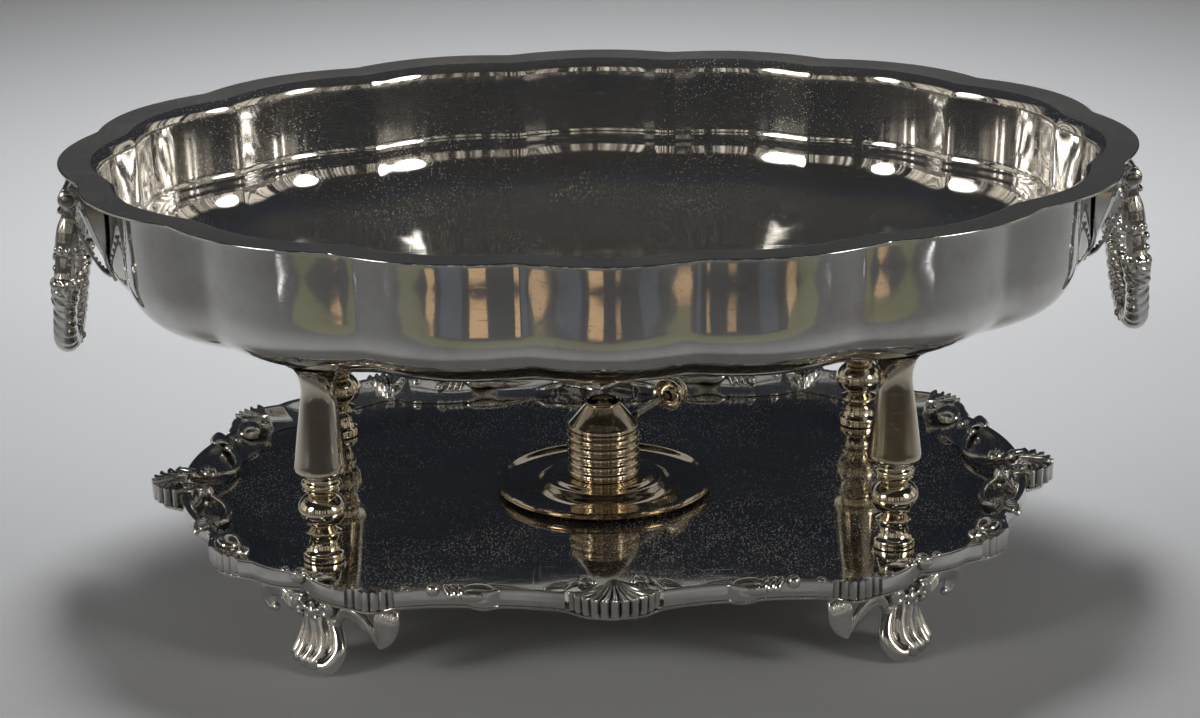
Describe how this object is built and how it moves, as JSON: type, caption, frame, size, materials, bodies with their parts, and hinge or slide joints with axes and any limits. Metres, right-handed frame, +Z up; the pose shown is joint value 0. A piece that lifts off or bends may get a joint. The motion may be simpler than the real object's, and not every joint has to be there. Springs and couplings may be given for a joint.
{
  "type": "dish warmer",
  "caption": "Oval lobed basin with drop handles on turned columns, over a footed shaped salver with a shell border that carries a lever-regulated spirit burner.",
  "frame": {"origin": "centre of the base on the surface that the feet stand on", "axes": "+Z up, +X along the basin's length through the right handle, +Y to the back"},
  "size_m": [0.5074, 0.3808, 0.207],
  "materials": {
    "silver_plate": "polished silver plate, satin flange",
    "salver_field": "polished silver plate with fine pitting",
    "cast_silver": "cast and polished silver plate, dark in the recesses",
    "column_plate": "turned and polished silver plate, warm",
    "burner_plate": "turned and polished plate worn warm",
    "fastener_metal": "satin",
    "wick_cotton": "braided cotton"
  },
  "bodies": {
    "stand": {"baluster_back_left": "column_plate", "baluster_back_right": "column_plate", "baluster_front_left": "column_plate", "baluster_front_right": "column_plate", "border_back_left": "cast_silver", "border_back_right": "cast_silver", "border_front_left": "cast_silver", "border_front_right": "cast_silver", "foot_back_left": "cast_silver", "foot_back_right": "cast_silver", "foot_front_left": "cast_silver", "foot_front_right": "cast_silver", "nut_back_left": "fastener_metal", "nut_back_right": "fastener_metal", "nut_front_left": "fastener_metal", "nut_front_right": "fastener_metal", "shell_back": "cast_silver", "shell_front": "cast_silver", "shell_left": "cast_silver", "shell_right": "cast_silver", "stud_back_left": "fastener_metal", "stud_back_right": "fastener_metal", "stud_front_left": "fastener_metal", "stud_front_right": "fastener_metal", "tray_plate": "salver_field", "washer_back_left": "fastener_metal", "washer_back_right": "fastener_metal", "washer_front_left": "fastener_metal", "washer_front_right": "fastener_metal"},
    "basin": {"basin": "silver_plate", "basin_leg_back_left": "column_plate", "basin_leg_back_right": "column_plate", "basin_leg_front_left": "column_plate", "basin_leg_front_right": "column_plate", "handle_bracket_left": "cast_silver", "handle_bracket_right": "cast_silver", "hinge_pin_left": "fastener_metal", "hinge_pin_right": "fastener_metal"},
    "left_handle": {"ring_handle_left": "cast_silver"},
    "right_handle": {"ring_handle_right": "cast_silver"},
    "burner": {"burner_saucer": "burner_plate", "burner_font": "burner_plate", "burner_lid": "burner_plate", "wick_tube": "burner_plate", "wick": "wick_cotton"},
    "burner_lever": {"burner_cap": "burner_plate", "lever_rod": "fastener_metal", "lever_knob": "burner_plate"}
  },
  "joints": [
    {"name": "basin_lift", "type": "slide", "parent": "stand", "child": "basin", "axis": [0, 0, 1], "range_m": [0, 0.06]},
    {"name": "left_handle_swing", "type": "hinge", "parent": "basin", "child": "left_handle", "pos_m": [-0.242, 0, 0.196], "axis": [0, 1, 0], "range_deg": [0, 95]},
    {"name": "right_handle_swing", "type": "hinge", "parent": "basin", "child": "right_handle", "pos_m": [0.242, 0, 0.196], "axis": [0, -1, 0], "range_deg": [0, 95]},
    {"name": "burner_lift", "type": "slide", "parent": "stand", "child": "burner", "axis": [0, 0, 1], "range_m": [0, 0.04]},
    {"name": "burner_lever_turn", "type": "hinge", "parent": "burner", "child": "burner_lever", "pos_m": [0, 0, 0.0725], "axis": [0, 0, 1], "range_deg": [-60, 60]}
  ]
}
